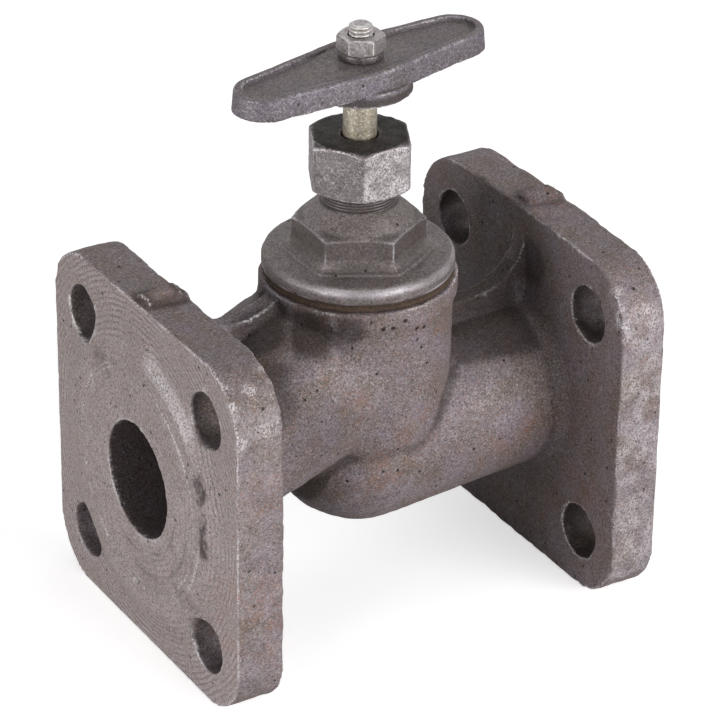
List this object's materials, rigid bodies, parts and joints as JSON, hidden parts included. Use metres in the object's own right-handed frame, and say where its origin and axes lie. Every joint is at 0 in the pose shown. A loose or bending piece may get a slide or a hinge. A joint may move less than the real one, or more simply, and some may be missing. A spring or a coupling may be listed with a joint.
{
  "type": "flanged stop valve",
  "caption": "Cast iron globe stop valve with square flanges, screwed bonnet, gland nut and a bar handle on a rising stem.",
  "frame": {"origin": "centre of the bounding box's bottom, midway between the flanges, at the level of their lower edges", "axes": "+X along the pipe towards the inlet flange, +Z along the stem towards the handle, +Y across"},
  "size_m": [0.12, 0.09, 0.1486],
  "materials": {
    "body_iron": "rough sand casting, bare",
    "bonnet_iron": "turned casting, darkened",
    "gland_iron": "bare, worn bright on the edges",
    "handle_iron": "rough casting, rim worn bright",
    "zinc_steel": "yellow zinc plated steel",
    "plain_steel": "plain steel",
    "disc_iron": "turned casting",
    "gasket_fibre": "pressed fibre gasket sheet",
    "packing_fibre": "graphited packing",
    "soft_seal": "white soft seal"
  },
  "bodies": {
    "body": {"valve_body": "body_iron", "bonnet_gasket": "gasket_fibre", "bonnet": "bonnet_iron", "packing_ring_1": "packing_fibre", "packing_ring_2": "packing_fibre", "packing_ring_3": "packing_fibre", "packing_ring_4": "packing_fibre"},
    "disc": {"disc": "disc_iron", "disc_seal": "soft_seal", "seal_washer": "plain_steel", "seal_nut": "plain_steel", "disc_retaining_ring": "plain_steel"},
    "stem": {"stem": "zinc_steel", "handle": "handle_iron", "lock_washer": "plain_steel", "handle_nut": "plain_steel"},
    "gland": {"gland_follower": "plain_steel"},
    "gland_nut": {"gland_nut": "gland_iron"}
  },
  "joints": [
    {"name": "disc_lift", "type": "slide", "parent": "body", "child": "disc", "axis": [0, 0, 1], "range_m": [0, 0.008]},
    {"name": "handle_turn", "type": "hinge", "parent": "disc", "child": "stem", "pos_m": [0, 0, 0.13], "axis": [0, 0, 1], "range_deg": [0, 960]},
    {"name": "gland_slide", "type": "slide", "parent": "body", "child": "gland", "axis": [0, 0, 1], "range_m": [-0.0015, 0], "deforming": ["packing_ring_1", "packing_ring_2", "packing_ring_3", "packing_ring_4"]},
    {"name": "gland_nut_turn", "type": "hinge", "parent": "gland", "child": "gland_nut", "pos_m": [0, 0, 0.115], "axis": [0, 0, 1], "range_deg": [-360, 0]}
  ],
  "couplings": [
    {"joint": "handle_turn", "follows": "disc_lift", "rad_per_m": 2094.4},
    {"joint": "gland_nut_turn", "follows": "gland_slide", "rad_per_m": 4188.8}
  ]
}
